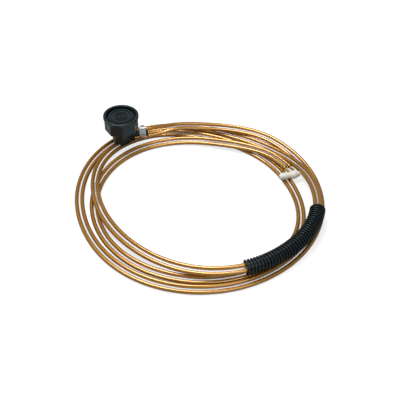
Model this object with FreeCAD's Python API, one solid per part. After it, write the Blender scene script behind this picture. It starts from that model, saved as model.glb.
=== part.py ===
# Immersion wort chiller of flexible twin hose: a loose flat coil with a tap head at one end
# and a return bend at the other. Millimetres, Z up. The coil lies on z = 0.
import FreeCAD, Part
import math
import os

V = FreeCAD.Vector

# Twin hose
TUBE_OD = 4.6            # outer diameter of each tube
TUBE_BORE = 2.8          # bore of each tube, open at its ends
TUBE_SPACING = 7.0       # centre to centre across the twin hose
WEB_THICK = 1.2          # clear strip between the tubes
WEB_BITE = 0.15          # how far the strip runs into each tube
TWIN_TILT = 25.0         # the twin hose leans back by this, in degrees, at the coil's front and back
SOCKET_ROOM = 1.0        # the open bore at a tube's end runs this far past its tail

# Coil: every station is (angle, radius, outward slope, room, climb), angles in degrees. The room
# is from the floor to the lower tube's underside; a little under 0 where the tube lies flattened.
# The hose runs clockwise seen from above, from the head to the white fitting.
COIL_X = -0.46           # middle of the coil, from the middle of the whole object
COIL_Y = 1.96
FIRST_TURN = [
    (105.0, 134.0, 5.5, 13.88, -6.0),
    (90.0, 135.6, 4.0, 10.22, -6.0),
    (45.0, 147.8, 3.5, 5.68, -6.0),
    (-30.0, 150.5, 0.5, -0.48, 0.0),
    (-110.0, 151.1, -2.0, -0.19, 0.0),
    (-170.0, 147.2, 4.0, -0.49, 0.0),
    (-228.0, 161.0, 0.0, 0.05, 0.0),
]
SECOND_TURN = [
    (-300.0, 135.5, -2.0, 0.11, 1.0),
    (-352.0, 143.4, 4.0, 11.55, 5.0),
    (-390.0, 147.3, -4.0, 13.22, 0.0),
    (-440.0, 137.0, -11.0, 11.22, -4.0),
    (-505.0, 117.5, 2.0, 5.75, -1.0),
    (-592.0, 149.0, -1.0, 2.47, -2.5),
]
THIRD_TURN = [
    (-650.0, 119.8, -7.0, -0.04, 0.0),
    (-692.0, 116.8, 1.5, 0.02, 0.0),
    (-760.0, 136.8, 4.0, -0.03, 0.0),
    (-830.0, 135.5, -2.5, -0.18, 0.0),
    (-900.0, 130.3, 1.0, -0.23, 0.0),
    (-950.0, 127.0, -5.0, -0.25, 0.0),
    (-1000.0, 112.3, -6.5, 2.86, 4.0),
]

# Tap head
HEAD_X = -103.16         # axis of the head
HEAD_Y = 114.36
HEAD_BASE = 9.8          # underside of the neck above the floor
NECK_OD = 26.0
NECK_BORE = 19.0
OUTLET_DIAMETER = 3.6    # water outlet in the neck's base
OUTLET_WALL = 2.0        # thickness of the neck's base
PARTITION_Z = 6.0        # underside of the wall between the two water chambers, from the neck's base
PARTITION_THICK = 3.0
FLANGE_THICK = 9.5       # collar that the nut pulls on
CUP_OD = 33.4            # strainer cup
CUP_HEIGHT = 10.4
CUP_FIT = 0.2            # radial room round the cup in its seat
CUP_DEPTH = 4.0          # how far the cup sits in the body
CUP_FACE = 2.2           # thickness of the cup's face
CUP_WALL = 2.4
RIDGE_RADII = [4.8, 8.0, 14.2]
RIDGE_WIDTH = 1.4
RIDGE_HEIGHT = 0.9
DIMPLE_DIAMETER = 3.0
DIMPLE_DEPTH = 1.2
STRAINER_HOLES = 12
STRAINER_HOLE_DIAMETER = 1.4
MESH_THICK = 0.5
O_RING_SECTION = 1.4
O_RING_ROOM = 0.1        # above and below the ring in its groove
WASHER_WIDTH = 1.5
WASHER_THICK = 2.4
WASHER_ROOM = 0.3        # radial room inside and outside the sealing washer
RIM_WALL = 3.5           # width of the rim's top face
RIM_HEIGHT = 4.6
RECESS_STEP = 0.5        # the open recess in the rim is this much wider than the nut's bore, on each side
RECESS_DEPTH = 4.0
GRIP_WALL = 1.4          # nut wall at the middle of a grip flat
GRIP_SIDES = 8
GRIP_TURN = 10.0         # direction of one corner of the grip, in degrees
NUT_GAP = 0.6            # between the upper tube and the underside of the nut
NUT_HEIGHT = 22.4
NUT_LIP_THICK = 3.0
NUT_PLAY = 0.35          # running clearance of the nut, radial and axial
SLIP_RING_THICK = 1.0
RIM_EDGE = 1.2           # rounding of the rim
GRIP_EDGE = 1.2          # bevel under the grip

# Arm, spigots and clamp on the side of the neck
ARM_ANGLE = 8.0          # direction of the arm from the head's axis, in degrees
ARM_Z = 18.0             # middle of the arm above the floor
ARM_SPREAD = 13.4        # between the two tubes at the clamp
ARM_SET = 6.0            # the face that the tubes butt against lies this far inside the nut's corners
ARM_WIDTH = 9.0
NOSE_STAND = 3.1         # the nose between the two tubes stands out of the clamp by this
NOSE_GAP = 0.2           # round the nose, to the tubes and to the clamp
NOSE_EDGE = 1.2          # rounding of its tip
PASSAGE_DIAMETER = 1.4   # water way through the arm and the spigots
SPIGOT_ROOT = 3.0        # how deep a spigot is set in the arm
ROOT_DIAMETER = 3.0
SPIGOT_LENGTH = 14.0     # how far it stands in the tube
SPIGOT_SHANK = 2.4
SPIGOT_BARBS = 3
BARB_LENGTH = 2.6
BARB_SHARE = 0.85        # share of a barb's length taken by its slope
STRAIGHT_SPARE = 1.4     # the tubes run straight this far past the nose
CLAMP_SET = 6.5          # near edge of the clamp, from the face that the tubes butt against
CLAMP_WIDTH = 8.5
CLAMP_BAND = 0.8
CLAMP_SLOTS = 3
CLAMP_SLOT_WIDTH = 4.7
CLAMP_SLOT_HEIGHT = 0.9
CLAMP_SLOT_PITCH = 2.16
CLAMP_SLOT_DROP = 6.0    # lowest slot, below the middle of the arm
CLAMP_EAR_WIDTH = 5.0
CLAMP_EAR_HEIGHT = 1.6
CLAMP_EAR_THICK = 2.4

# Corrugated guard sleeve
SLEEVE_OD = 19.6
SLEEVE_BORE = 15.2
SLEEVE_ROOT = 17.4       # diameter between the ribs
SLEEVE_RIBS = 36
SLEEVE_PITCH = 3.93
SLEEVE_START_ANGLE = -371.7
SLEEVE_SAG = 0.2         # the sleeve hangs this far below the hose's middle
CREST_SHARE = 0.36       # share of the pitch taken by a rib's crest
FLANK_SHARE = 0.12       # share of the pitch taken by each flank

# White return bend
FITTING_X = 115.3        # middle of the fitting
FITTING_Y = 38.7
FITTING_Z = 10.5
FITTING_ANGLE = 14.5     # direction of its long axis
FITTING_LENGTH = 27.6
TIP_DIAMETER = 5.4       # at both ends
NEAR_BARREL = 8.8        # thinner half of the body
NEAR_TAPER = 4.5
WAIST_DIAMETER = 7.6
WAIST_PLACE = -0.5       # middle of the waist, along from the fitting's middle
WAIST_LENGTH = 1.6
WAIST_SLOPE = 1.0
FAR_BARREL = 10.8        # thicker half
FAR_TAPER = 7.0
HOSE_END_ANGLE = -62.0   # direction in which the hose comes to it
END_OFFSET = 6.1         # where the hose's middle line meets the long axis, from the fitting's middle
END_STANDOFF = 16.0      # from the fitting's axis to the tubes' ends
END_STRAIGHT = 6.0
FERRULE_OD = 6.2
FERRULE_LENGTH = 4.0
TAIL_DIAMETER = 3.4      # bare part of each tail, between the tube's end and the fitting
TAIL_SEAT = 1.5          # each tail stops this far before the long axis
TAIL_LENGTH = 6.5        # how far each tail stands in its tube
TAIL_BARBS = 2
PLUG_DIAMETER = 2.6
PLUG_LENGTH = 4.0
PLUG_STAND = 0.4         # the plug's end stands out by this

CUT_MARGIN = 10.0        # spare room round the block that cuts the tubes flat at the floor

# Values that follow from the sizes
half_pair = TUBE_SPACING / 2
tube_r = TUBE_OD / 2
lean = math.radians(TWIN_TILT)
LEAN_UP = V(0, -math.sin(lean), math.cos(lean))
head = V(HEAD_X, HEAD_Y, 0)
arm = math.radians(ARM_ANGLE)
ARM_DIR = V(math.cos(arm), math.sin(arm), 0)
ARM_SIDE = V(-math.sin(arm), math.cos(arm), 0)
neck_r = NECK_OD / 2
seat_r = CUP_OD / 2 + CUP_FIT
washer_in = seat_r + WASHER_ROOM
washer_out = washer_in + WASHER_WIDTH
flange_r = washer_out + WASHER_ROOM
nut_bore_r = flange_r + NUT_PLAY
grip_corner_r = (nut_bore_r + GRIP_WALL) / math.cos(math.pi / GRIP_SIDES)
recess_r = nut_bore_r + RECESS_STEP
rim_r = recess_r + RIM_WALL
arm_reach = grip_corner_r - ARM_SET
clamp_start = arm_reach + CLAMP_SET
clamp_end = clamp_start + CLAMP_WIDTH
nose_reach = clamp_end + NOSE_STAND
straight_end = nose_reach + STRAIGHT_SPARE
nut_bottom = ARM_Z + ARM_SPREAD / 2 + tube_r + NUT_GAP
rim_top = nut_bottom + NUT_HEIGHT
lip_top = nut_bottom + NUT_LIP_THICK
flange_bottom = lip_top + NUT_PLAY + SLIP_RING_THICK
flange_top = flange_bottom + FLANGE_THICK
hose_end = math.radians(HOSE_END_ANGLE)
END_DIR = V(math.cos(hose_end), math.sin(hose_end), 0)
END_SIDE = V(-END_DIR.y, END_DIR.x, 0)
fitting = V(FITTING_X, FITTING_Y, FITTING_Z)
fit_a = math.radians(FITTING_ANGLE)
FITTING_DIR = V(math.cos(fit_a), math.sin(fit_a), 0)
FITTING_SIDE = V(-FITTING_DIR.y, FITTING_DIR.x, 0)
hose_meets = fitting + FITTING_DIR * END_OFFSET
Z = V(0, 0, 1)
parts = {}


def unit(v):
    return V(v) / v.Length


def cylinder(radius, start, direction, length):
    return Part.makeCylinder(radius, length, start, direction)


def tube_ring(r_out, r_in, z0, z1, axis=None):
    """A ring round the head's axis, between two heights."""
    base = axis or head
    low = V(base.x, base.y, z0)
    return cylinder(r_out, low, Z, z1 - z0).cut(cylinder(r_in, low, Z, z1 - z0))


def spun(points, start, direction):
    """A solid of revolution: points are (along, radius) measured from start."""
    side = unit(direction.cross(Z) if abs(direction.z) < 0.9 else V(1, 0, 0))
    wire = Part.makePolygon([start + direction * a + side * r for a, r in points + points[:1]])
    return Part.Face(wire).revolve(start, direction, 360)


# The coil's path

def station(row):
    """Point and direction of the hose at one station of the coil."""
    angle, radius, slope, room, climb = row
    a = math.radians(angle)
    out = V(math.cos(a), math.sin(a), 0)
    ahead = V(math.sin(a), -math.cos(a), 0)
    s = math.radians(slope)
    flat = ahead * math.cos(s) + out * math.sin(s)
    along = unit(flat + Z * math.tan(math.radians(climb)))
    height = room + tube_r + half_pair * abs(pair_side(along).z)
    return V(COIL_X, COIL_Y, height) + out * radius, along


def pair_side(direction):
    return unit(LEAN_UP.cross(direction))


def biarc(p0, t0, p1, t1):
    """Corner points of the two arcs that join two directed points."""
    chord = p1 - p0
    both = t0 + t1
    a = both.dot(both) - 4
    b = -2 * chord.dot(both)
    c = chord.dot(chord)
    root = math.sqrt(b * b - 4 * a * c)
    reach = min(r for r in ((-b + root) / (2 * a), (-b - root) / (2 * a)) if r > 0)
    q0 = p0 + t0 * reach
    q1 = p1 - t1 * reach
    joint = (q0 + q1) * 0.5
    return [(p0, q0, joint), (joint, q1, p1)]


def arc_at(corner, share):
    """Point at a share of the arc's turn, and the arc's radius."""
    p0, q, p1 = corner
    u = unit(q - p0)
    w = unit(p1 - q)
    turn = math.acos(max(-1.0, min(1.0, u.dot(w))))
    radius = (q - p0).Length / math.tan(turn / 2)
    inward = unit(w - u * math.cos(turn))
    centre = p0 + inward * radius
    here = turn * share
    return centre - inward * (radius * math.cos(here)) + u * (radius * math.sin(here)), radius


def mouth(side_sign):
    """Where a tube ends, in front of the return bend."""
    return hose_meets + END_SIDE * (side_sign * half_pair) - END_DIR * END_STANDOFF


def tube_corners(side_sign):
    """Arcs of one tube between its two straight ends; 0 gives the twin hose's middle."""
    arm_root = head + Z * ARM_Z + Z * (side_sign * ARM_SPREAD / 2)
    run = [(arm_root + ARM_DIR * straight_end, ARM_DIR)]
    for row in FIRST_TURN + SECOND_TURN + THIRD_TURN:
        point, ahead = station(row)
        run.append((point + pair_side(ahead) * (side_sign * half_pair), ahead))
    end = mouth(side_sign)
    run.append((end - END_DIR * END_STRAIGHT, END_DIR))
    corners = []
    for (p0, t0), (p1, t1) in zip(run, run[1:]):
        corners += biarc(p0, t0, p1, t1)
    return arm_root + ARM_DIR * arm_reach, corners, end


def arc_edge(p0, mid, p1):
    return Part.Arc(p0, mid, p1).toShape()


def tube_points(side_sign, step):
    start, corners, end = tube_corners(side_sign)
    points = [start]
    for corner in corners:
        radius = arc_at(corner, 0.5)[1]
        count = max(1, int((corner[2] - corner[0]).Length / step))
        points += [arc_at(corner, k / count)[0] for k in range(count)]
    return points + [corners[-1][2], end]


def solid_tube(side_sign):
    """One unbroken tube with a bored socket at each end, flattened where it lies on the floor."""
    start, corners, end = tube_corners(side_sign)
    edges = [Part.LineSegment(start, corners[0][0]).toShape()]
    for corner in corners:
        edges.append(arc_edge(corner[0], arc_at(corner, 0.5)[0], corner[2]))
    edges.append(Part.LineSegment(corners[-1][2], end).toShape())
    path = Part.Wire(edges)
    ring = Part.Wire([Part.makeCircle(tube_r, start, ARM_DIR)])
    body = path.makePipeShell([ring], True, False)
    if body.Volume < 0:
        body.reverse()
    ideal = math.pi * tube_r ** 2 * path.Length
    radii = [arc_at(corner, 0.5)[1] for corner in corners]
    print("tube length %.0f, volume ratio %.4f, radii from %.0f to %.0f"
          % (path.Length, body.Volume / ideal, min(radii), max(radii)))
    box = body.BoundBox
    corner = V(box.XMin - CUT_MARGIN, box.YMin - CUT_MARGIN, -CUT_MARGIN)
    floor = Part.makeBox(box.XLength + 2 * CUT_MARGIN, box.YLength + 2 * CUT_MARGIN, CUT_MARGIN, corner)
    body = body.cut(floor)
    body = body.cut(cylinder(TUBE_BORE / 2, start, ARM_DIR, SPIGOT_LENGTH + SOCKET_ROOM))
    body = body.cut(cylinder(TUBE_BORE / 2, end, END_DIR * -1, TAIL_LENGTH + SOCKET_ROOM))
    return body


def least_gap():
    """Least distance between surfaces of hose that are far apart along it."""
    step = 3.0
    skip = int(20 * TUBE_OD / step)
    window = 2 * TUBE_OD
    runs = {"outer": tube_points(1, step), "inner": tube_points(-1, step)}
    least = (1e9, "")
    for one, other in (("outer", "outer"), ("inner", "inner"), ("outer", "inner")):
        for i, p in enumerate(runs[one]):
            for j, q in enumerate(runs[other]):
                if abs(i - j) < skip or (one == other and j < i):
                    continue
                if abs(p.x - q.x) > window or abs(p.y - q.y) > window:
                    continue
                gap = (p - q).Length - TUBE_OD
                if gap < least[0]:
                    least = (gap, "%s to %s near %.0f, %.0f" % (one, other, p.x, p.y))
    print("least gap %.2f, %s" % least)


def web_solid():
    """The clear strip: ruled faces between arcs that keep level with the two tubes."""
    outer = tube_corners(1)[1][2:]
    inner = tube_corners(-1)[1][2:]
    edge = half_pair - tube_r + WEB_BITE
    share_out = 0.5 - edge / TUBE_SPACING
    share_in = 0.5 + edge / TUBE_SPACING
    faces = []
    ends = []
    for number, (a, b) in enumerate(zip(outer, inner)):
        marks = []
        for share in (0.0, 0.5, 1.0):
            pa = arc_at(a, share)[0]
            pb = arc_at(b, share)[0]
            marks.append((pa + (pb - pa) * share_out, pa + (pb - pa) * share_in))
        lift = LEAN_UP * (WEB_THICK / 2)
        left = arc_edge(*[m[0] - lift for m in marks])
        right = arc_edge(*[m[1] - lift for m in marks])
        left_up = arc_edge(*[m[0] + lift for m in marks])
        right_up = arc_edge(*[m[1] + lift for m in marks])
        faces.append(Part.makeRuledSurface(left, right))
        faces.append(Part.makeRuledSurface(left_up, right_up))
        faces.append(Part.makeRuledSurface(left, left_up))
        faces.append(Part.makeRuledSurface(right, right_up))
        if number == 0:
            ends.append([marks[0][0] - lift, marks[0][1] - lift, marks[0][1] + lift, marks[0][0] + lift])
        if number == len(outer) - 1:
            ends.append([marks[2][0] - lift, marks[2][1] - lift, marks[2][1] + lift, marks[2][0] + lift])
    for loop in ends:
        faces.append(Part.Face(Part.makePolygon(loop + loop[:1])))
    shell = Part.makeShell(faces)
    shell.sewShape(0.001)
    solid = Part.makeSolid(shell)
    if solid.Volume < 0:
        solid.reverse()
    return solid


def sleeve_frame(points, at):
    """Point, lateral, up and ahead of the sleeve's middle line at a length along it."""
    run = 0.0
    for p, q in zip(points, points[1:]):
        step = (q - p).Length
        if run + step >= at:
            ahead = unit(q - p)
            lateral = unit(LEAN_UP.cross(ahead))
            up = unit(ahead.cross(lateral))
            here = p + (q - p) * ((at - run) / step)
            return here - Z * SLEEVE_SAG, lateral, up, ahead
        run += step
    raise ValueError("the sleeve runs past the end of the hose")


def sleeve_start():
    """Length along the hose's middle line at which the sleeve begins."""
    points = tube_points(0, 2.0)
    middle = V(COIL_X, COIL_Y, 0)
    run = 0.0
    turned = 0.0
    before = points[0] - middle
    angle = math.degrees(math.atan2(before.y, before.x))
    for p, q in zip(points, points[1:]):
        now = q - middle
        cross = before.x * now.y - before.y * now.x
        dot = before.x * now.x + before.y * now.y
        turned += math.degrees(math.atan2(cross, dot))
        run += (q - p).Length
        before = now
        if angle + turned <= SLEEVE_START_ANGLE:
            return points, run
    raise ValueError("the sleeve starts past the end of the hose")


def ring_wire(frame, radius):
    point, lateral, up, ahead = frame
    edge = Part.makeCircle(radius)
    edge.Placement = FreeCAD.Placement(point, FreeCAD.Rotation(lateral, up, ahead, "ZXY"))
    return Part.Wire([edge])


def sleeve_solid():
    points, start = sleeve_start()
    flank = SLEEVE_PITCH * FLANK_SHARE
    crest = SLEEVE_PITCH * CREST_SHARE
    outer = []
    inner = []
    for rib in range(SLEEVE_RIBS):
        at = start + rib * SLEEVE_PITCH
        outer.append(ring_wire(sleeve_frame(points, at), SLEEVE_ROOT / 2))
        outer.append(ring_wire(sleeve_frame(points, at + flank), SLEEVE_OD / 2))
        outer.append(ring_wire(sleeve_frame(points, at + flank + crest), SLEEVE_OD / 2))
        outer.append(ring_wire(sleeve_frame(points, at + 2 * flank + crest), SLEEVE_ROOT / 2))
        inner.append(ring_wire(sleeve_frame(points, at), SLEEVE_BORE / 2))
    last = start + (SLEEVE_RIBS - 1) * SLEEVE_PITCH + 2 * flank + crest
    inner.append(ring_wire(sleeve_frame(points, last), SLEEVE_BORE / 2))
    skin = Part.makeLoft(outer, True, True)
    bore = Part.makeLoft(inner, True, True)
    return skin.cut(bore)


def barbed_tail(start, direction, root, root_diameter, length, barbs):
    """A bored tail: a plain root set in its seat, then barbs that fill the tube's bore."""
    top = TUBE_BORE / 2
    neck = SPIGOT_SHANK / 2
    first = length - barbs * BARB_LENGTH
    points = [(-root, 0), (-root, root_diameter / 2), (0, root_diameter / 2), (0, neck), (first, neck)]
    for k in range(barbs):
        low = first + k * BARB_LENGTH
        points.append((low, top))
        points.append((low + BARB_LENGTH * BARB_SHARE, neck))
        points.append((low + BARB_LENGTH, neck))
    points.append((length, 0))
    tail = spun(points, start, direction)
    return tail.cut(cylinder(PASSAGE_DIAMETER / 2, start - direction * root, direction, root + length))


def arm_box(u0, u1, width, z0, z1):
    box = Part.makeBox(u1 - u0, width, z1 - z0, V(u0, -width / 2, z0))
    box.Placement = FreeCAD.Placement(head, FreeCAD.Rotation(Z, ARM_ANGLE))
    return box


def arm_passage(z, u0, u1, radius):
    return cylinder(radius, head + Z * z + ARM_DIR * u0, ARM_DIR, u1 - u0)


def build_head():
    base = V(HEAD_X, HEAD_Y, HEAD_BASE)
    high_z = ARM_Z + ARM_SPREAD / 2
    low_z = ARM_Z - ARM_SPREAD / 2
    cup_seat = flange_top - CUP_DEPTH
    body = cylinder(neck_r, base, Z, flange_top - HEAD_BASE)
    body = body.fuse(cylinder(flange_r, V(HEAD_X, HEAD_Y, flange_bottom), Z, FLANGE_THICK))
    arm_low = max(HEAD_BASE, low_z - tube_r)
    arm_high = min(nut_bottom - NUT_PLAY, high_z + tube_r)
    body = body.fuse(arm_box(0, arm_reach, ARM_WIDTH, arm_low, arm_high))
    nose_half = ARM_SPREAD / 2 - tube_r - NOSE_GAP
    nose_width = TUBE_OD - 2 * NOSE_GAP
    nose = arm_box(0, nose_reach, nose_width, ARM_Z - nose_half, ARM_Z + nose_half)
    tip = [e for e in nose.Edges if all(abs((v.Point - head).dot(ARM_DIR) - nose_reach) < 0.01
                                        for v in e.Vertexes)]
    body = body.fuse(nose.makeFillet(NOSE_EDGE, tip))
    body = body.removeSplitter()
    wall_low = HEAD_BASE + PARTITION_Z
    wall_high = wall_low + PARTITION_THICK
    body = body.cut(cylinder(OUTLET_DIAMETER / 2, base, Z, PARTITION_Z))
    body = body.cut(cylinder(NECK_BORE / 2, base + Z * OUTLET_WALL, Z, PARTITION_Z - OUTLET_WALL))
    body = body.cut(cylinder(NECK_BORE / 2, V(HEAD_X, HEAD_Y, wall_high), Z, flange_top - wall_high))
    body = body.cut(cylinder(seat_r, V(HEAD_X, HEAD_Y, cup_seat), Z, CUP_DEPTH))
    for z in (low_z, high_z):
        body = body.cut(arm_passage(z, 0, arm_reach, PASSAGE_DIAMETER / 2))
        body = body.cut(arm_passage(z, arm_reach - SPIGOT_ROOT, arm_reach, ROOT_DIAMETER / 2))
    parts["adaptor_body"] = body

    for name, z in (("supply_spigot", high_z), ("return_spigot", low_z)):
        start = head + Z * z + ARM_DIR * arm_reach
        parts[name] = barbed_tail(start, ARM_DIR, SPIGOT_ROOT, ROOT_DIAMETER, SPIGOT_LENGTH, SPIGOT_BARBS)

    # Strainer cup: a ridged face on a short wall, with a ring of small holes between two ridges
    cup_r = CUP_OD / 2
    face_top = cup_seat + CUP_HEIGHT
    cup = cylinder(cup_r, V(HEAD_X, HEAD_Y, cup_seat), Z, CUP_HEIGHT)
    cup = cup.cut(cylinder(cup_r - CUP_WALL, V(HEAD_X, HEAD_Y, cup_seat), Z, CUP_HEIGHT - CUP_FACE))
    for radius in RIDGE_RADII:
        half = RIDGE_WIDTH / 2
        cup = cup.fuse(tube_ring(radius + half, radius - half, face_top, face_top + RIDGE_HEIGHT))
    dimple = cylinder(DIMPLE_DIAMETER / 2, V(HEAD_X, HEAD_Y, face_top - DIMPLE_DEPTH), Z, DIMPLE_DEPTH)
    cup = cup.cut(dimple)
    hole_r = (RIDGE_RADII[0] + RIDGE_RADII[1]) / 2
    for k in range(STRAINER_HOLES):
        a = 2 * math.pi * k / STRAINER_HOLES
        at = V(HEAD_X + hole_r * math.cos(a), HEAD_Y + hole_r * math.sin(a), cup_seat)
        cup = cup.cut(cylinder(STRAINER_HOLE_DIAMETER / 2, at, Z, CUP_HEIGHT))
    ring_z = cup_seat + CUP_DEPTH / 2
    groove_in = seat_r - O_RING_SECTION
    half = O_RING_SECTION / 2 + O_RING_ROOM
    cup = cup.cut(tube_ring(seat_r, groove_in, ring_z - half, ring_z + half))
    parts["strainer_cup"] = cup
    o_ring = Part.makeTorus(groove_in + O_RING_SECTION / 2, O_RING_SECTION / 2, V(HEAD_X, HEAD_Y, ring_z), Z)
    parts["cup_o_ring"] = o_ring
    under_face = face_top - CUP_FACE
    mesh = cylinder(cup_r - CUP_WALL, V(HEAD_X, HEAD_Y, under_face - MESH_THICK), Z, MESH_THICK)
    parts["strainer_mesh"] = mesh

    parts["sealing_washer"] = tube_ring(washer_out, washer_in, flange_top, flange_top + WASHER_THICK)
    slip_out = flange_r - NUT_PLAY
    parts["slip_ring"] = tube_ring(slip_out, neck_r, flange_bottom - SLIP_RING_THICK, flange_bottom)


def build_nut():
    low = V(HEAD_X, HEAD_Y, nut_bottom)
    grip_height = NUT_HEIGHT - RIM_HEIGHT
    loop = []
    for k in range(GRIP_SIDES + 1):
        a = math.radians(GRIP_TURN) + 2 * math.pi * k / GRIP_SIDES
        loop.append(low + V(grip_corner_r * math.cos(a), grip_corner_r * math.sin(a), 0))
    grip = Part.Face(Part.makePolygon(loop)).extrude(Z * grip_height)
    bottom = [e for e in grip.Edges if all(abs(v.Z - nut_bottom) < 0.01 for v in e.Vertexes)]
    grip = grip.makeChamfer(GRIP_EDGE, bottom)
    rim = cylinder(rim_r, low + Z * grip_height, Z, RIM_HEIGHT)
    rim = rim.makeFillet(RIM_EDGE, [e for e in rim.Edges if isinstance(e.Curve, Part.Circle)])
    nut = grip.fuse(rim)
    nut = nut.cut(cylinder(nut_bore_r, V(HEAD_X, HEAD_Y, lip_top), Z, NUT_HEIGHT))
    nut = nut.cut(cylinder(neck_r + NUT_PLAY, low, Z, NUT_LIP_THICK))
    nut = nut.cut(cylinder(recess_r, V(HEAD_X, HEAD_Y, rim_top - RECESS_DEPTH), Z, RECESS_DEPTH))
    parts["union_nut"] = nut


def stadium(half_height, radius, u0, u1):
    """A flat-sided ring shape round both tubes at the clamp, as a solid along the arm."""
    start = head + Z * ARM_Z + ARM_DIR * u0
    up = Z * half_height
    out = ARM_SIDE * radius
    top = Part.Arc(start + up - out, start + up + Z * radius, start + up + out).toShape()
    low = Part.Arc(start - up + out, start - up - Z * radius, start - up - out).toShape()
    right = Part.LineSegment(start + up + out, start - up + out).toShape()
    left = Part.LineSegment(start - up - out, start + up - out).toShape()
    return Part.Face(Part.Wire([top, right, low, left])).extrude(ARM_DIR * (u1 - u0))


def build_clamp():
    half = ARM_SPREAD / 2
    band = stadium(half, tube_r + CLAMP_BAND, clamp_start, clamp_end)
    ear_z = ARM_Z + half + tube_r
    inset = (CLAMP_WIDTH - CLAMP_EAR_WIDTH) / 2
    ear_top = ear_z + CLAMP_BAND + CLAMP_EAR_HEIGHT
    ear = arm_box(clamp_start + inset, clamp_end - inset, CLAMP_EAR_THICK, ear_z, ear_top)
    band = band.fuse(ear)
    band = band.cut(stadium(half, tube_r, clamp_start, clamp_end))
    inset = (CLAMP_WIDTH - CLAMP_SLOT_WIDTH) / 2
    for k in range(CLAMP_SLOTS):
        z = ARM_Z - CLAMP_SLOT_DROP + k * CLAMP_SLOT_PITCH
        slot = Part.makeBox(CLAMP_SLOT_WIDTH, 2 * CLAMP_BAND, CLAMP_SLOT_HEIGHT,
                            V(clamp_start + inset, -tube_r - CLAMP_BAND, z))
        slot.Placement = FreeCAD.Placement(head, FreeCAD.Rotation(Z, ARM_ANGLE))
        band = band.cut(slot)
    parts["hose_clamp"] = band


def build_fitting():
    """The return bend: a spun body on its side, bored for a tail from each tube."""
    half = FITTING_LENGTH / 2
    near = WAIST_PLACE - WAIST_LENGTH / 2
    far = WAIST_PLACE + WAIST_LENGTH / 2
    body = spun([
        (-half, 0),
        (-half, TIP_DIAMETER / 2),
        (-half + NEAR_TAPER, NEAR_BARREL / 2),
        (near - WAIST_SLOPE, NEAR_BARREL / 2),
        (near, WAIST_DIAMETER / 2),
        (far, WAIST_DIAMETER / 2),
        (far + WAIST_SLOPE, FAR_BARREL / 2),
        (half - FAR_TAPER, FAR_BARREL / 2),
        (half, TIP_DIAMETER / 2),
        (half, 0),
    ], fitting, FITTING_DIR)
    if body.Volume < 0:
        body.reverse()
    tip = fitting - FITTING_DIR * half
    turn = -END_SIDE.dot(FITTING_SIDE) / END_DIR.dot(FITTING_SIDE)
    for name, sign in (("supply", 1), ("return", -1)):
        start = mouth(sign)
        # from the tube's end to the fitting's long axis
        reach = END_STANDOFF + sign * half_pair * turn
        along = (start + END_DIR * reach - tip).dot(FITTING_DIR)
        body = body.cut(cylinder(PASSAGE_DIAMETER / 2, tip + FITTING_DIR * PLUG_LENGTH, FITTING_DIR,
                                 along - PLUG_LENGTH))
        body = body.cut(cylinder(PASSAGE_DIAMETER / 2, start, END_DIR, reach))
        body = body.cut(cylinder(TAIL_DIAMETER / 2, start, END_DIR, reach - TAIL_SEAT))
        parts[name + "_bend_tail"] = barbed_tail(start, END_DIR * -1, reach - TAIL_SEAT, TAIL_DIAMETER,
                                                 TAIL_LENGTH, TAIL_BARBS)
        ferrule = cylinder(FERRULE_OD / 2, start, END_DIR * -1, FERRULE_LENGTH)
        parts[name + "_ferrule"] = ferrule.cut(cylinder(tube_r, start, END_DIR * -1, FERRULE_LENGTH))
    body = body.cut(cylinder(PLUG_DIAMETER / 2, tip, FITTING_DIR, PLUG_LENGTH))
    parts["end_fitting"] = body
    plug_end = tip - FITTING_DIR * PLUG_STAND
    parts["passage_plug"] = cylinder(PLUG_DIAMETER / 2, plug_end, FITTING_DIR, PLUG_LENGTH + PLUG_STAND)


build_head()
build_nut()
build_clamp()
parts["supply_tube"] = solid_tube(1)
parts["return_tube"] = solid_tube(-1)
parts["hose_web"] = web_solid()
parts["guard_sleeve"] = sleeve_solid()
build_fitting()
least_gap()

os.makedirs("parts", exist_ok=True)
whole = None
for name, shape in parts.items():
    solid = shape.Solids[0] if len(shape.Solids) == 1 else shape
    print("%-18s solids %d valid %s volume %.1f" % (name, len(shape.Solids), shape.isValid(), shape.Volume))
    solid.exportStep("parts/%s.step" % name)
    box = shape.BoundBox
    whole = FreeCAD.BoundBox(box) if whole is None else whole
    whole.add(box)
print("box x %.2f %.2f y %.2f %.2f z %.2f %.2f"
      % (whole.XMin, whole.XMax, whole.YMin, whole.YMax, whole.ZMin, whole.ZMax))
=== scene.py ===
import math

import bmesh
import bpy
from mathutils import Matrix, Vector


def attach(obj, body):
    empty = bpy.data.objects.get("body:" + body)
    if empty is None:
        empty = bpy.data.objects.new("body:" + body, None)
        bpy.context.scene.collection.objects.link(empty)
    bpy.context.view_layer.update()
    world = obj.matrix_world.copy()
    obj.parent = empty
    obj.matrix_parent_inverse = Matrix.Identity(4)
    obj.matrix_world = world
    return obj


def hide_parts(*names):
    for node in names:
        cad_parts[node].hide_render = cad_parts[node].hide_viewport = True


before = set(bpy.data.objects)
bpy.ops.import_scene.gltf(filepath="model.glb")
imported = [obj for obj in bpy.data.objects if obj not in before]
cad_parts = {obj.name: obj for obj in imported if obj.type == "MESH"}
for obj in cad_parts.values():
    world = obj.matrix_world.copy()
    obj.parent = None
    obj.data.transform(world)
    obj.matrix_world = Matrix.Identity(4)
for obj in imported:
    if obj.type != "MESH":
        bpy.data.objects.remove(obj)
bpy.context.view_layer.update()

bl_info = {
    "name": "Twin-hose wort chiller",
    "version": (1, 0, 0),
    "blender": (4, 5, 0),
    "location": "3D View > Sidebar > Chiller",
    "description": "Builds a coiled twin-hose wort chiller with its tap head, clamp, guard sleeve and bend",
    "category": "Object",
}

MM = 0.001
ROOT = "hose_and_head"
NUT = "nut"

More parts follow.
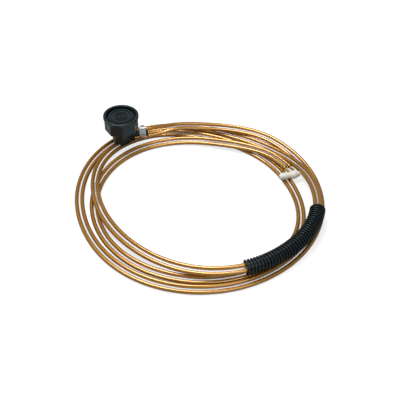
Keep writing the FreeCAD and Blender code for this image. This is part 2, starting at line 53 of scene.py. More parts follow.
# The hose's way round the coil, clockwise seen from above: angle, radius, outward slope, room under
# the lower tube and climb at each station, in degrees and millimetres. The drawn tubes are a little
# thicker than the solids, and the stations at -228 and -592 are lower for it, so that the turns stay
# apart where they cross.
COIL_MIDDLE = Vector((-0.46, 1.96, 0.0))
STATIONS = [
    (105.0, 134.0, 5.5, 13.88, -6.0),
    (90.0, 135.6, 4.0, 10.22, -6.0),
    (45.0, 147.8, 3.5, 5.68, -6.0),
    (-30.0, 150.5, 0.5, -0.48, 0.0),
    (-110.0, 151.1, -2.0, -0.19, 0.0),
    (-170.0, 147.2, 4.0, -0.49, 0.0),
    (-228.0, 161.0, 0.0, -0.35, 0.0),
    (-300.0, 135.5, -2.0, 0.11, 1.0),
    (-352.0, 143.4, 4.0, 11.55, 5.0),
    (-390.0, 147.3, -4.0, 13.22, 0.0),
    (-440.0, 137.0, -11.0, 11.22, -4.0),
    (-505.0, 117.5, 2.0, 5.75, -1.0),
    (-592.0, 149.0, -1.0, 0.9, -4.2),
    (-650.0, 119.8, -7.0, -0.04, 0.0),
    (-692.0, 116.8, 1.5, 0.02, 0.0),
    (-760.0, 136.8, 4.0, -0.03, 0.0),
    (-830.0, 135.5, -2.5, -0.18, 0.0),
    (-900.0, 130.3, 1.0, -0.23, 0.0),
    (-950.0, 127.0, -5.0, -0.25, 0.0),
    (-1000.0, 112.3, -6.5, 2.86, 4.0),
]
TURN_BEFORE = 24.0       # degrees of turn from the head to the first station
TURN_AFTER = 48.0        # degrees of turn from the last station to the end fitting
POINT_TURN = 12.0        # degrees of turn from one point of the hose's line to the next
LEAST_BEND = 0.05        # in radians, for stretches that are nearly straight
FLOOR_GAP = 0.02

# The twin hose: its flat side leans to the front, and LEAN_UP stands square to it
TWIN_TILT = math.radians(25.0)
LEAN_UP = Vector((0.0, -math.sin(TWIN_TILT), math.cos(TWIN_TILT)))
TUBE_OD = 5.0
TUBE_SPACING = 6.95
STRIP_BITE = 0.25        # how far the clear strip reaches into each tube
STRIP_SLACK = 0.6        # the strip starts where the tubes are this near to their spacing

# The head's upright axis, the arm that both tubes leave by, and the end fitting that they run to
UP = Vector((0.0, 0.0, 1.0))
HEAD = Vector((-103.16, 114.36, 0.0))
ARM_ANGLE = math.radians(8.0)
ARM_DIR = Vector((math.cos(ARM_ANGLE), math.sin(ARM_ANGLE), 0.0))
ARM_Z = 18.0
ARM_SPREAD = 13.4
ARM_REACH = 16.46
STRAIGHT_END = 35.96
FITTING = Vector((115.3, 38.7, 10.5))
FITTING_ANGLE = math.radians(14.5)
FITTING_DIR = Vector((math.cos(FITTING_ANGLE), math.sin(FITTING_ANGLE), 0.0))
HOSE_END = math.radians(-62.0)
END_DIR = Vector((math.cos(HOSE_END), math.sin(HOSE_END), 0.0))
END_SIDE = Vector((-END_DIR.y, END_DIR.x, 0.0))
END_OFFSET = 6.1
END_STANDOFF = 16.0
END_STRAIGHT = 6.0

# The nut, in millimetres: heights above the floor and radii about the head's axis
NUT_LOW = 27.6
NUT_LIP = 30.6
RIM_LOW = 45.4
RIM_TOP = 50.0
RECESS_LOW = 46.0
NUT_HOLE = 13.35
NUT_BORE = 19.35
RECESS = 19.85
GRIP_CORNER = 22.46
GRIP_CHAMFER = 1.2
GRIP_IN_RIM = 0.4        # how far the grip's top stands inside the rim
RIM = 23.35
GRIP_SIDES = 8
GRIP_TURN = math.radians(10.0)
ROUND_STEPS = 96

# The guard sleeve: its start about the coil's middle, and its ribs
SLEEVE_START = math.radians(-371.7)
SLEEVE_PITCH = 3.93
SLEEVE_SAG = 0.2
SLEEVE_RELIEF = 2.1      # from a rib's crest to the groove beside it
SLEEVE_WALL = 0.7
# share of the pitch and of the relief: a wide groove, then a narrow round rib
RIB_SHAPE = (
    (0.0, 0.0), (0.44, 0.0), (0.5, 0.45), (0.58, 0.8), (0.68, 0.97), (0.76, 0.97), (0.86, 0.8), (0.94, 0.45),
)

# The end fitting, its plug and its rings: radius, place along the axis and rounding at each corner
BEND_CORNERS = (
    (0.0, -13.8, 0.0), (2.7, -13.8, 0.6), (4.4, -9.3, 3.0), (4.4, -2.3, 1.0), (3.8, -1.3, 0.8),
    (3.8, 0.3, 0.8), (5.4, 1.3, 1.2), (5.4, 6.8, 3.0), (2.7, 13.8, 1.0), (0.0, 13.8, 0.0),
)
PLUG_CORNERS = ((0.0, -14.2, 0.0), (1.3, -14.2, 0.3), (1.3, -9.8, 0.0), (0.0, -9.8, 0.0))
RING_CORNERS = ((2.3, -4.0, 0.1), (3.1, -4.0, 0.5), (3.1, 0.0, 0.5), (2.3, 0.0, 0.1))

# The stage: the floor's half side in millimetres, then the camera and the lamps in metres
FLOOR_HALF = 4000.0
CAMERA_TARGET = Vector((0.84, 3.06, 0.0)) * MM
CAMERA_ANGLE = math.radians(42.0)        # above the floor
CAMERA_DISTANCE = 1.05
CAMERA_LENS = 75.4
LAMP_TARGET = Vector((0.0, 0.0, 0.02))
LAMPS = (
    # name, place, diameter and share of the lamp level
    ("overhead_lamp", Vector((-0.3, 0.2, 1.2)), 0.85, 1.0),
    ("front_lamp", Vector((0.5, -0.9, 1.1)), 0.8, 0.3),
)

# Colours that aren't among the settings
PAPER = "#ADADAD"
RUBBER_BLACK = "#1B1D1E"
BLACK_GLINT = "#D6F2F6"  # cool tint of the light on black plastic


class ChillerSizes(bpy.types.PropertyGroup):
    tube_diameter: bpy.props.FloatProperty(
        name="Tube diameter", description="Outer diameter of each tube",
        default=TUBE_OD * MM, unit="LENGTH")
    strip_thickness: bpy.props.FloatProperty(
        name="Strip thickness", description="Thickness of the clear strip between the tubes",
        default=1.2 * MM, unit="LENGTH")
    sleeve_diameter: bpy.props.FloatProperty(
        name="Sleeve diameter", description="Diameter over the guard sleeve's ribs",
        default=19.6 * MM, unit="LENGTH")
    sleeve_ribs: bpy.props.IntProperty(
        name="Sleeve ribs", description="Ribs along the guard sleeve", default=36, min=2)
    lamp_level: bpy.props.FloatProperty(
        name="Lamp level", description="Strength of the overhead soft lamp, in watts", default=13.5, min=0.0)
    room_level: bpy.props.FloatProperty(
        name="Room level", description="Strength of the soft light from all round", default=0.27, min=0.0)
    floor_lift: bpy.props.FloatProperty(
        name="Floor lift", description="How much whiter the floor looks than its paper", default=0.7, min=0.0,
        max=1.0, subtype="FACTOR")


class ChillerColours(bpy.types.PropertyGroup):
    amber: bpy.props.StringProperty(
        name="Amber", description="Colour of the tubes, as an sRGB hex value", default="#CC9524")
    amber_deep: bpy.props.StringProperty(
        name="Deep amber", description="Darker amber of the tubes, as an sRGB hex value", default="#A67211")
    edge: bpy.props.StringProperty(
        name="Tube edge", description="Colour of the tubes' lustre at a glancing angle, as an sRGB hex value",
        default="#6E4A12")
    coat: bpy.props.StringProperty(
        name="Tube gloss", description="Tint of the tubes' glossy skin, as an sRGB hex value",
        default="#FFF9E0")
    strip: bpy.props.StringProperty(
        name="Strip", description="Colour of the clear strip, as an sRGB hex value", default="#F1EEEC")
    black: bpy.props.StringProperty(
        name="Black plastic", description="Colour of the head, as an sRGB hex value", default="#0F181C")
    sleeve_black: bpy.props.StringProperty(
        name="Sleeve black", description="Colour of the guard sleeve, as an sRGB hex value",
        default="#030507")
    zinc: bpy.props.StringProperty(
        name="Zinc", description="Colour of the clamp, as an sRGB hex value", default="#CBD7DE")
    white: bpy.props.StringProperty(
        name="White plastic", description="Colour of the end fitting, as an sRGB hex value",
        default="#E6E3D7")
    brass: bpy.props.StringProperty(
        name="Brass", description="Colour of the small rings, as an sRGB hex value", default="#C9A45A")


def sizes():
    return bpy.context.scene.chiller_sizes


def colours():
    return bpy.context.scene.chiller_colours


# Materials

def linear(hex_colour, alpha=1.0):
    """sRGB hex to the linear colour that a socket takes."""
    out = []
    for k in (1, 3, 5):
        c = int(hex_colour[k:k + 2], 16) / 255
        out.append(c / 12.92 if c <= 0.04045 else ((c + 0.055) / 1.055) ** 2.4)
    return (*out, alpha)


def set_inputs(node, values):
    for key, value in values.items():
        node.inputs[key].default_value = value


def add_node(tree, kind, settings=None, inputs=None, links=()):
    """A node of that kind; inputs are set by name, and each link is (socket name, output)."""
    node = tree.nodes.new(kind)
    for key, value in (settings or {}).items():
        setattr(node, key, value)
    set_inputs(node, inputs or {})
    for key, output in links:
        tree.links.new(output, node.inputs[key])
    return node


def new_material(name):
    material = bpy.data.materials.new(name)
    material.use_nodes = True
    tree = material.node_tree
    return material, tree, tree.nodes["Principled BSDF"]


def speckle(tree, scale, detail):
    """The output of a noise that is fixed to the piece."""
    place = add_node(tree, "ShaderNodeTexCoord")
    noise = add_node(tree, "ShaderNodeTexNoise", inputs={"Scale": scale, "Detail": detail},
                     links=[("Vector", place.outputs["Object"])])
    return noise.outputs["Fac"]


def uneven_roughness(tree, shader, noise, least, most):
    """Lets the roughness follow a noise between two values."""
    span = add_node(tree, "ShaderNodeMapRange", inputs={"To Min": least, "To Max": most},
                    links=[("Value", noise)])
    tree.links.new(span.outputs["Result"], shader.inputs["Roughness"])


def amber_pvc():
    """Plasticised PVC tube with a pearly amber pigment, extruded: a brassy lustre under a glossy skin."""
    material, tree, shader = new_material("pearly_amber_extruded_pvc")
    # clouds of about 45 mm, where the wall is a little thicker or thinner
    mix = add_node(tree, "ShaderNodeMix", {"data_type": "RGBA"},
                   {"A": linear(colours().amber_deep), "B": linear(colours().amber)},
                   [("Factor", speckle(tree, 22.0, 2.0))])
    tree.links.new(mix.outputs["Result"], shader.inputs["Base Color"])
    # the pigment's flakes shine like a metal, and darken where the wall turns away
    set_inputs(shader, {
        "Metallic": 0.75, "Specular Tint": linear(colours().edge), "Roughness": 0.32, "IOR": 1.54,
        "Coat Weight": 1.0, "Coat Roughness": 0.15, "Coat IOR": 1.85, "Coat Tint": linear(colours().coat),
    })
    return material


def clear_pvc():
    """Unpigmented PVC strip, extruded with the tubes: thin and see-through, with a faint milky haze."""
    material, tree, shader = new_material("clear_extruded_pvc")
    uneven_roughness(tree, shader, speckle(tree, 60.0, 2.0), 0.1, 0.28)
    set_inputs(shader, {"Base Color": linear(colours().strip), "IOR": 1.5, "Alpha": 0.28})
    return material


def moulded_black(name, hex_colour, roughness, grain_mm, strength, gloss=0.5):
    """Black engineering plastic: near black with a fine grain from its mould."""
    material, tree, shader = new_material(name)
    bump = add_node(tree, "ShaderNodeBump", inputs={"Strength": strength, "Distance": 0.0001},
                    links=[("Height", speckle(tree, 1.0 / (grain_mm * MM), 3.0))])
    tree.links.new(bump.outputs["Normal"], shader.inputs["Normal"])
    uneven_roughness(tree, shader, speckle(tree, 90.0, 1.0), roughness - 0.05, roughness + 0.07)
    set_inputs(shader, {"Base Color": linear(hex_colour), "IOR": 1.53, "Specular IOR Level": gloss,
                        "Specular Tint": linear(BLACK_GLINT)})
    return material


def zinc_plate():
    """Mild steel strip with bright zinc plating: a bluish metal with soft grain from rolling."""
    material, tree, shader = new_material("bright_zinc_plated_steel")
    uneven_roughness(tree, shader, speckle(tree, 900.0, 2.0), 0.08, 0.2)
    set_inputs(shader, {"Base Color": linear(colours().zinc), "Metallic": 1.0})
    return material


def white_acetal():
    """Acetal, moulded: creamy white, waxy, with light going a little way in."""
    material, tree, shader = new_material("white_moulded_acetal")
    uneven_roughness(tree, shader, speckle(tree, 200.0, 2.0), 0.3, 0.42)
    set_inputs(shader, {"Base Color": linear(colours().white), "IOR": 1.48,
                        "Subsurface Weight": 0.06, "Subsurface Scale": 0.002})
    return material


def turned_brass():
    """Brass, turned and left plain: warm yellow with fine turning marks."""
    material, tree, shader = new_material("turned_brass")
    uneven_roughness(tree, shader, speckle(tree, 1200.0, 1.0), 0.22, 0.36)
    set_inputs(shader, {"Base Color": linear(colours().brass), "Metallic": 1.0})
    return material


MAKERS = {
    "amber": amber_pvc,
    "strip": clear_pvc,
    # glass-filled nylon, injection moulded: satin
    "black": lambda: moulded_black("black_moulded_nylon", colours().black, 0.3, 0.5, 0.1, 0.7),
    # polyamide conduit, extruded and corrugated: smoother, so that each rib catches a thin light
    "conduit": lambda: moulded_black("black_extruded_polyamide", colours().sleeve_black,
                                     0.34, 0.8, 0.05, 0.62),
    # nitrile rubber, moulded: dull and slightly dusty
    "rubber": lambda: moulded_black("black_nitrile_rubber", RUBBER_BLACK, 0.7, 0.6, 0.2),
    "zinc": zinc_plate,
    "white": white_acetal,
    "brass": turned_brass,
}
made = {}


def finish_of(key):
    if key not in made:
        made[key] = MAKERS[key]()
    return made[key]


# Pieces

def dress(obj, key, body, *nodes):
    """Gives a finished piece its material, its body and the nodes that it stands for."""
    obj.data.materials.clear()
    obj.data.materials.append(finish_of(key))
    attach(obj, body)
    if nodes:
        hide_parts(*nodes)
    return obj


def finish_node(node, key):
    """Gives its material to a solid that is shown without a finer copy."""
    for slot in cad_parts[node].material_slots:
        slot.material = finish_of(key)


def mesh_piece(name, mesh, smooth_angle=35.0):
    """A Blender object from a bmesh in millimetres, with its place in its mesh."""
    bmesh.ops.remove_doubles(mesh, verts=mesh.verts, dist=0.0005)
    bmesh.ops.recalc_face_normals(mesh, faces=mesh.faces)
    bmesh.ops.scale(mesh, vec=(MM, MM, MM), verts=mesh.verts)
    limit = math.radians(smooth_angle)
    for face in mesh.faces:
        face.smooth = True
    for edge in mesh.edges:
        edge.smooth = len(edge.link_faces) == 2 and edge.calc_face_angle(0.0) < limit
    data = bpy.data.meshes.new(name)
    mesh.to_mesh(data)
    mesh.free()
    obj = bpy.data.objects.new(name, data)
    bpy.context.scene.collection.objects.link(obj)
    return obj


def turned(outline, origin, axis=UP, steps=ROUND_STEPS):
    """A bmesh spun from an outline of (radius, along); one that starts on the axis is left open."""
    mesh = bmesh.new()
    side = axis.orthogonal().normalized()
    verts = [mesh.verts.new(origin + side * r + axis * a) for r, a in outline]
    pairs = list(zip(verts, verts[1:]))
    if outline[0][0] > 0.0:
        pairs.append((verts[-1], verts[0]))
    edges = [mesh.edges.new(pair) for pair in pairs]
    bmesh.ops.spin(mesh, geom=verts + edges, cent=origin, axis=axis, angle=math.tau, steps=steps,
                   use_merge=True)
    return mesh


def add_to(mesh, other):
    """Adds a bmesh to another one."""
    data = bpy.data.meshes.new("scratch")
    other.to_mesh(data)
    other.free()
    mesh.from_mesh(data)
    bpy.data.meshes.remove(data)


def rounded(corners, steps=3):
    """An outline of (radius, along) from corners that each carry a rounding, 0 for a sharp one."""
    out = []
    count = len(corners)
    for k, (x, y, r) in enumerate(corners):
        if r == 0:
            out.append((x, y))
            continue
        here = Vector((x, y))
        before = Vector(corners[k - 1][:2]) - here
        after = Vector(corners[(k + 1) % count][:2]) - here
        half = before.angle(after) / 2
        cut = min(r / math.tan(half), before.length * 0.45, after.length * 0.45)
        a = here + before.normalized() * cut
        b = here + after.normalized() * cut
        for n in range(steps + 1):
            t = n / steps
            p = a.lerp(here, t).lerp(here.lerp(b, t), t)
            out.append((p.x, p.y))
    return out


def weighted(obj):
    """Keeps flat faces flat beside their rounded edges."""
    modifier = obj.modifiers.new("flat_faces", "WEIGHTED_NORMAL")
    modifier.keep_sharp = True


def soften(mesh, width, least_angle, segments=2):
    """Rounds the edges of a bmesh that turn by more than an angle."""
    limit = math.radians(least_angle)
    edges = [e for e in mesh.edges if len(e.link_faces) == 2 and e.calc_face_angle(0.0) > limit]
    bmesh.ops.bevel(mesh, geom=edges, offset=width, offset_type="OFFSET", segments=segments, profile=0.5,
                    affect="EDGES", clamp_overlap=True, material=-1)


def softened_copy(node, name, key, width):
    """A finer copy of a CAD solid: corners merged, flat faces joined and sharp edges rounded."""
    mesh = bmesh.new()
    mesh.from_mesh(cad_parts[node].data)
    bmesh.ops.scale(mesh, vec=(1.0 / MM, 1.0 / MM, 1.0 / MM), verts=mesh.verts)
    bmesh.ops.remove_doubles(mesh, verts=mesh.verts, dist=0.001)
    bmesh.ops.dissolve_limit(mesh, angle_limit=math.radians(0.5), verts=mesh.verts, edges=mesh.edges)
    soften(mesh, width, 40.0)
    weighted(dress(mesh_piece(name, mesh), key, ROOT, node))


# The hose's line

def station_at(row, side):
    """A tube's place and direction at a station; side is 1 for the outer tube and -1 for the inner."""
    angle, radius, slope, room, climb = row
    a = math.radians(angle)
    out = Vector((math.cos(a), math.sin(a), 0.0))
    ahead = Vector((math.sin(a), -math.cos(a), 0.0))
    s = math.radians(slope)
    along = ahead * math.cos(s) + out * math.sin(s) + UP * math.tan(math.radians(climb))
    along.normalize()
    across = LEAN_UP.cross(along).normalized() * (TUBE_SPACING / 2)
    height = room + TUBE_OD / 2 + abs(across.z)
    return COIL_MIDDLE + out * radius + UP * height + across * side, along


def hose_line(side):
    """Points of one tube's line: straight out of the head, round the coil and into the fitting."""
    root = HEAD + UP * (ARM_Z + side * ARM_SPREAD / 2)
    marks = [(root + ARM_DIR * STRAIGHT_END, ARM_DIR)]
    marks += [station_at(row, side) for row in STATIONS]
    meets = FITTING + FITTING_DIR * END_OFFSET
    end = meets + END_SIDE * (side * TUBE_SPACING / 2) - END_DIR * END_STANDOFF
    marks.append((end - END_DIR * END_STRAIGHT, END_DIR))
    turns = [TURN_BEFORE] + [abs(b[0] - a[0]) for a, b in zip(STATIONS, STATIONS[1:])] + [TURN_AFTER]
    line = [root + ARM_DIR * ARM_REACH, root + ARM_DIR * (ARM_REACH + STRAIGHT_END) / 2]
    for (p0, t0), (p1, t1), turn in zip(marks, marks[1:], turns):
        # handles as long as an arc between the two marks would have
        bend = max(LEAST_BEND, t0.angle(t1))
        reach = 2.0 / 3.0 * (p1 - p0).length * math.tan(bend / 4) / math.sin(bend / 2)
        count = max(2, round(turn / POINT_TURN))
        for k in range(count):
            t = k / count
            q = [p0, p0 + t0 * reach, p1 - t1 * reach, p1]
            while len(q) > 1:
                q = [a.lerp(b, t) for a, b in zip(q, q[1:])]
            line.append(q[0])
    line += [end - END_DIR * END_STRAIGHT, end - END_DIR * END_STRAIGHT / 2, end]
    # each point stands a little outside the bend, so that the spline passes where the hose lies
    drawn = [line[0]]
    for a, b, c in zip(line, line[1:], line[2:]):
        drawn.append(b - (a + c - b * 2) / 8)
    drawn.append(line[-1])
    for p in drawn:
        p.z = max(p.z, TUBE_OD / 2 + FLOOR_GAP)
    return drawn


def hose_curve(name, side, diameter):
    """One tube as a smooth curve with closed ends."""
    data = bpy.data.curves.new(name, "CURVE")
    data.dimensions = "3D"
    data.resolution_u = 10
    spline = data.splines.new("NURBS")
    points = hose_line(side)
    spline.points.add(len(points) - 1)
    for slot, p in zip(spline.points, points):
        slot.co = (p.x * MM, p.y * MM, p.z * MM, 1.0)
    spline.order_u = 3
    spline.use_endpoint_u = True
    data.bevel_depth = diameter / 2
    data.bevel_resolution = 8
    data.use_fill_caps = True
    obj = bpy.data.objects.new(name, data)
    bpy.context.scene.collection.objects.link(obj)
    return obj


def line_of(obj):
    """The points of a hose's own spline, in millimetres."""
    data = obj.data.copy()
    data.bevel_depth = 0.0
    bare = bpy.data.objects.new("bare_line", data)
    bpy.context.scene.collection.objects.link(bare)
    bpy.context.view_layer.update()
    graph = bpy.context.evaluated_depsgraph_get()
    mesh = bpy.data.meshes.new_from_object(bare.evaluated_get(graph))
    points = [v.co / MM for v in mesh.vertices]
    bpy.data.meshes.remove(mesh)
    bpy.data.objects.remove(bare)
    bpy.data.curves.remove(data)
    return points


class CHILLER_OT_hose(bpy.types.Operator):
    """Makes the two amber tubes and the clear strip between them"""
    bl_idname = "chiller.hose"
    bl_label = "Twin hose"

    def execute(self, context):
        diameter = sizes().tube_diameter
        tubes = {}
        for name, side, node in (("supply_hose", 1, "supply_tube"), ("return_hose", -1, "return_tube")):
            tube = hose_curve(name, side, diameter)
            tubes[name] = line_of(tube)
            dress(tube, "amber", ROOT, node)
        self.strip(tubes["supply_hose"], tubes["return_hose"], diameter / MM)
        return {"FINISHED"}

    def strip(self, outer, inner, diameter):
        """The clear strip, from where the tubes come together to their far ends."""
        share = 0.5 - (TUBE_SPACING / 2 - diameter / 2 + STRIP_BITE) / TUBE_SPACING
        together = TUBE_SPACING + STRIP_SLACK
        first = next(k for k, (a, b) in enumerate(zip(outer, inner)) if (a - b).length < together)
        thick = sizes().strip_thickness / MM
        low = LEAN_UP * (thick / 2)
        mesh = bmesh.new()
        rows = []
        for a, b in zip(outer[first:], inner[first:]):
            rows.append([mesh.verts.new(a.lerp(b, t) - low) for t in (share, 1.0 - share)])
        left = [mesh.edges.new((p[0], q[0])) for p, q in zip(rows, rows[1:])]
        right = [mesh.edges.new((p[1], q[1])) for p, q in zip(rows, rows[1:])]
        bmesh.ops.bridge_loops(mesh, edges=left + right)
        above = bmesh.ops.extrude_face_region(mesh, geom=mesh.faces[:])
        lifted = [v for v in above["geom"] if isinstance(v, bmesh.types.BMVert)]
        bmesh.ops.translate(mesh, verts=lifted, vec=LEAN_UP * thick)
        dress(mesh_piece("clear_strip", mesh), "strip", ROOT, "hose_web")


class CHILLER_OT_sleeve(bpy.types.Operator):
    """Makes the corrugated guard sleeve round the hose"""
    bl_idname = "chiller.sleeve"
    bl_label = "Guard sleeve"

    def execute(self, context):
        outer = line_of(bpy.data.objects["supply_hose"])
        inner = line_of(bpy.data.objects["return_hose"])
        middle = [a.lerp(b, 0.5) for a, b in zip(outer, inner)]
        crest = sizes().sleeve_diameter / MM / 2
        start = self.length_at(middle, SLEEVE_START)
        mesh = bmesh.new()
        rings = []
        for rib in range(sizes().sleeve_ribs):
            for share, lift in RIB_SHAPE:
                radius = crest - SLEEVE_RELIEF * (1.0 - lift)
                rings.append(self.ring(mesh, middle, start + (rib + share) * SLEEVE_PITCH, radius))
        for a, b in zip(rings, rings[1:]):
            bmesh.ops.bridge_loops(mesh, edges=a + b)
        bmesh.ops.recalc_face_normals(mesh, faces=mesh.faces)
        bmesh.ops.solidify(mesh, geom=mesh.faces[:], thickness=SLEEVE_WALL)
        dress(mesh_piece("corrugated_sleeve", mesh, 60.0), "conduit", ROOT, "guard_sleeve")
        return {"FINISHED"}

    def length_at(self, points, angle):
        """The length along a line at which it has come round to an angle about the coil's middle."""
        run = 0.0
        turned_by = 0.0
        before = points[0] - COIL_MIDDLE
        begin = math.atan2(before.y, before.x)
        for p, q in zip(points, points[1:]):
            now = q - COIL_MIDDLE
            turned_by += math.atan2(before.x * now.y - before.y * now.x, before.x * now.x + before.y * now.y)
            run += (q - p).length
            before = now
            if begin + turned_by <= angle:
                return run
        raise RuntimeError("the sleeve starts past the end of the hose")

    def ring(self, mesh, points, at, radius):
        """The edges of a circle square to a line, at a length along it."""
        run = 0.0
        for p, q in zip(points, points[1:]):
            step = (q - p).length
            if run + step >= at:
                ahead = (q - p).normalized()
                lateral = LEAN_UP.cross(ahead).normalized()
                up = ahead.cross(lateral).normalized()
                here = p + (q - p) * ((at - run) / step) - UP * SLEEVE_SAG
                turn = Matrix((lateral, up, ahead)).transposed().to_4x4()
                circle = bmesh.ops.create_circle(mesh, segments=ROUND_STEPS // 2, radius=radius,
                                                 matrix=Matrix.Translation(here) @ turn)
                verts = set(circle["verts"])
                return [e for e in mesh.edges if e.verts[0] in verts and e.verts[1] in verts]
            run += step
        raise RuntimeError("the sleeve runs past the end of the hose")


class CHILLER_OT_nut(bpy.types.Operator):
    """Makes the union nut: an eight-sided grip under a round rim"""
    bl_idname = "chiller.nut"
    bl_label = "Union nut"

    def execute(self, context):
        mesh = bmesh.new()
        place = Matrix.Translation(HEAD + UP * NUT_LOW) @ Matrix.Rotation(GRIP_TURN, 4, "Z")
        bmesh.ops.create_circle(mesh, segments=GRIP_SIDES, radius=GRIP_CORNER, matrix=place)
        bmesh.ops.subdivide_edges(mesh, edges=mesh.edges[:], cuts=ROUND_STEPS // GRIP_SIDES - 1)
        verts = mesh.verts[:]
        edges = mesh.edges[:]
        # once round the section: up the grip, in to the bore, down it and out again below the lip
        grip_top = RIM_LOW + GRIP_IN_RIM
        self.to_grip(verts, GRIP_CORNER - GRIP_CHAMFER, NUT_LOW)
        section = [
            (self.to_grip, GRIP_CORNER, NUT_LOW + GRIP_CHAMFER), (self.to_grip, GRIP_CORNER, grip_top),
            (self.to_round, NUT_BORE, grip_top), (self.to_round, NUT_BORE, NUT_LIP),
            (self.to_round, NUT_HOLE, NUT_LIP), (self.to_round, NUT_HOLE, NUT_LOW),
            (self.to_grip, GRIP_CORNER - GRIP_CHAMFER, NUT_LOW),
        ]
        for move, radius, height in section:
            grown = bmesh.ops.extrude_edge_only(mesh, edges=edges)["geom"]
            verts = [g for g in grown if isinstance(g, bmesh.types.BMVert)]
            new = set(verts)
            edges = [g for g in grown if isinstance(g, bmesh.types.BMEdge) and new.issuperset(g.verts)]
            move(verts, radius, height)
        bmesh.ops.remove_doubles(mesh, verts=mesh.verts, dist=0.0005)
        bmesh.ops.recalc_face_normals(mesh, faces=mesh.faces)
        soften(mesh, 0.6, 30.0, 3)
        rim = rounded([
            (NUT_BORE, RIM_LOW, 0.0), (RIM, RIM_LOW, 1.2), (RIM, RIM_TOP, 1.0), (RECESS, RIM_TOP, 0.5),
            (RECESS, RECESS_LOW, 0.0), (NUT_BORE, RECESS_LOW, 0.0),
        ], 4)
        add_to(mesh, turned(rim, HEAD))
        weighted(dress(mesh_piece("union_nut_finish", mesh), "black", NUT, "union_nut"))
        return {"FINISHED"}

    def to_grip(self, verts, corner, height):
        """Moves points straight out or in to the grip's eight sides."""
        side = math.tau / GRIP_SIDES
        for v in verts:
            out = Vector((v.co.x - HEAD.x, v.co.y - HEAD.y, 0.0)).normalized()
            off = (math.atan2(out.y, out.x) - GRIP_TURN) % side - side / 2
            v.co = HEAD + out * (corner * math.cos(side / 2) / math.cos(off)) + UP * height

    def to_round(self, verts, radius, height):
        """Moves points straight out or in to a circle about the head's axis."""
        for v in verts:
            out = Vector((v.co.x - HEAD.x, v.co.y - HEAD.y, 0.0)).normalized()
            v.co = HEAD + out * radius + UP * height


class CHILLER_OT_head(bpy.types.Operator):
    """Finishes the rest of the tap head: body, ridged strainer cup and washers"""
    bl_idname = "chiller.head"
    bl_label = "Tap head"

    def execute(self, context):
        softened_copy("adaptor_body", "adaptor_finish", "black", 0.4)
        softened_copy("strainer_cup", "strainer_finish", "black", 0.3)
        for node, key in (("sealing_washer", "rubber"), ("cup_o_ring", "rubber"), ("slip_ring", "white"),
                          ("strainer_mesh", "zinc"), ("supply_spigot", "black"), ("return_spigot", "black")):
            finish_node(node, key)
        return {"FINISHED"}


class CHILLER_OT_clamp(bpy.types.Operator):
    """Finishes the zinc-plated hose clamp"""
    bl_idname = "chiller.clamp"
    bl_label = "Hose clamp"

    def execute(self, context):
        softened_copy("hose_clamp", "clamp_finish", "zinc", 0.15)
        return {"FINISHED"}


class CHILLER_OT_bend(bpy.types.Operator):
    """Makes the white return bend with its plug and the brass rings and tails"""
    bl_idname = "chiller.bend"
    bl_label = "Return bend"

    def execute(self, context):
        body = turned(rounded(BEND_CORNERS, 4), FITTING, FITTING_DIR)
        dress(mesh_piece("bend_body", body, 50.0), "white", ROOT, "end_fitting")
        plug = turned(rounded(PLUG_CORNERS), FITTING, FITTING_DIR, 32)
        dress(mesh_piece("bend_plug", plug), "brass", ROOT, "passage_plug")
        meets = FITTING + FITTING_DIR * END_OFFSET
        for name, side in (("supply", 1), ("return", -1)):
            mouth = meets + END_SIDE * (side * TUBE_SPACING / 2) - END_DIR * END_STANDOFF
            ring = turned(rounded(RING_CORNERS), mouth, END_DIR, 48)
            dress(mesh_piece(name + "_ring", ring), "brass", ROOT, name + "_ferrule")
            finish_node(name + "_bend_tail", "brass")
        return {"FINISHED"}


# Stage

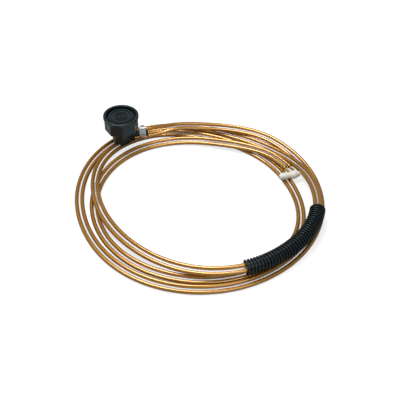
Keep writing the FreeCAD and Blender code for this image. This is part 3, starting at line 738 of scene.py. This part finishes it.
class CHILLER_OT_stage(bpy.types.Operator):
    """Makes the pale floor, the soft lamps, the world and the camera"""
    bl_idname = "chiller.stage"
    bl_label = "Stage"

    def execute(self, context):
        self.floor()
        self.room(context.scene)
        for name, place, diameter, share in LAMPS:
            self.lamp(name, place, diameter, sizes().lamp_level * share)
        self.camera(context.scene)
        context.scene.view_settings.view_transform = "Standard"
        return {"FINISHED"}

    def floor(self):
        mesh = bmesh.new()
        bmesh.ops.create_grid(mesh, x_segments=1, y_segments=1, size=FLOOR_HALF)
        floor = mesh_piece("studio_floor", mesh)
        material, tree, shader = new_material("matt_white_paper")
        tree.nodes.remove(shader)
        # the paper looks white to the eye, and throws back less light than it shows
        rays = add_node(tree, "ShaderNodeLightPath")
        seen = add_node(tree, "ShaderNodeMath", {"operation": "MAXIMUM"},
                        links=[(0, rays.outputs["Is Camera Ray"]), (1, rays.outputs["Is Transmission Ray"])])
        paper = add_node(tree, "ShaderNodeBsdfDiffuse", inputs={"Color": linear(PAPER)})
        lift = add_node(tree, "ShaderNodeMath", {"operation": "MULTIPLY"}, {1: sizes().floor_lift},
                        [(0, seen.outputs[0])])
        white = add_node(tree, "ShaderNodeEmission", inputs={"Color": linear("#FFFFFF")},
                         links=[("Strength", lift.outputs[0])])
        both = add_node(tree, "ShaderNodeAddShader", links=[(0, paper.outputs[0]), (1, white.outputs[0])])
        tree.links.new(both.outputs[0], tree.nodes["Material Output"].inputs["Surface"])
        floor.data.materials.append(material)

    def room(self, scene):
        world = bpy.data.worlds.new("soft_white_room")
        world.use_nodes = True
        scene.world = world
        set_inputs(world.node_tree.nodes["Background"],
                   {"Color": linear("#FFFFFF"), "Strength": sizes().room_level})

    def lamp(self, name, place, diameter, power):
        data = bpy.data.lights.new(name, "AREA")
        data.shape = "DISK"
        data.size = diameter
        data.energy = power
        lamp = bpy.data.objects.new(name, data)
        lamp.location = place
        lamp.rotation_euler = (LAMP_TARGET - place).to_track_quat("-Z", "Y").to_euler()
        bpy.context.scene.collection.objects.link(lamp)

    def camera(self, scene):
        data = bpy.data.cameras.new("photo_camera")
        data.sensor_width = 36.0
        data.lens = CAMERA_LENS
        camera = bpy.data.objects.new("photo_camera", data)
        away = Vector((0.0, -math.cos(CAMERA_ANGLE), math.sin(CAMERA_ANGLE)))
        camera.location = CAMERA_TARGET + away * CAMERA_DISTANCE
        camera.rotation_euler = (math.pi / 2 - CAMERA_ANGLE, 0.0, 0.0)
        scene.collection.objects.link(camera)
        scene.camera = camera


class CHILLER_PT_panel(bpy.types.Panel):
    bl_idname = "CHILLER_PT_panel"
    bl_label = "Wort chiller"
    bl_space_type = "VIEW_3D"
    bl_region_type = "UI"
    bl_category = "Chiller"

    def draw(self, context):
        column = self.layout.column()
        for group in (context.scene.chiller_sizes, context.scene.chiller_colours):
            for key in group.__annotations__:
                column.prop(group, key)
        for operator in OPERATORS:
            column.operator(operator.bl_idname)


OPERATORS = (CHILLER_OT_stage, CHILLER_OT_hose, CHILLER_OT_sleeve, CHILLER_OT_nut, CHILLER_OT_head,
             CHILLER_OT_clamp, CHILLER_OT_bend)
CLASSES = (ChillerSizes, ChillerColours) + OPERATORS + (CHILLER_PT_panel,)


def register():
    for cls in CLASSES:
        bpy.utils.register_class(cls)
    bpy.types.Scene.chiller_sizes = bpy.props.PointerProperty(type=ChillerSizes)
    bpy.types.Scene.chiller_colours = bpy.props.PointerProperty(type=ChillerColours)


def unregister():
    del bpy.types.Scene.chiller_colours
    del bpy.types.Scene.chiller_sizes
    for cls in reversed(CLASSES):
        bpy.utils.unregister_class(cls)


def main():
    register()
    bpy.ops.chiller.stage()
    bpy.ops.chiller.hose()
    bpy.ops.chiller.sleeve()
    bpy.ops.chiller.nut()
    bpy.ops.chiller.head()
    bpy.ops.chiller.clamp()
    bpy.ops.chiller.bend()
    bpy.context.view_layer.update()


if __name__ == "__main__":
    main()
